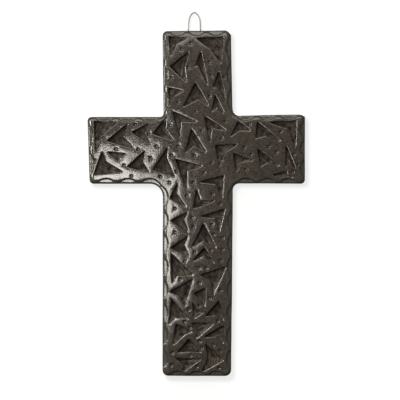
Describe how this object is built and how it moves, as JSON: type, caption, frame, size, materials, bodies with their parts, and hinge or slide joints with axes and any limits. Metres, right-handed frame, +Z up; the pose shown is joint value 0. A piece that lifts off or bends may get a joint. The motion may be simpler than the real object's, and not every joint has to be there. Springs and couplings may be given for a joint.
{
  "type": "ceramic wall cross",
  "caption": "Latin wall cross of burnished black clay, chip-carved with arrowheads, punched with dots and scalloped round its front edge, hung by a wire loop.",
  "frame": {"origin": "on the flat back, at the middle of the crossing", "axes": "+Z up the shaft towards the head, +X along the arms to the viewer's right, the carved front faces -Y and the flat back faces +Y"},
  "size_m": [0.1886, 0.018, 0.3162],
  "materials": {
    "black_clay": "burnished black clay, glossy on the lands and matt in the cuts",
    "steel_wire": "dull grey drawn wire"
  },
  "bodies": {
    "root": {"ceramic_cross": "black_clay", "hanging_wire": "steel_wire"}
  },
  "joints": []
}
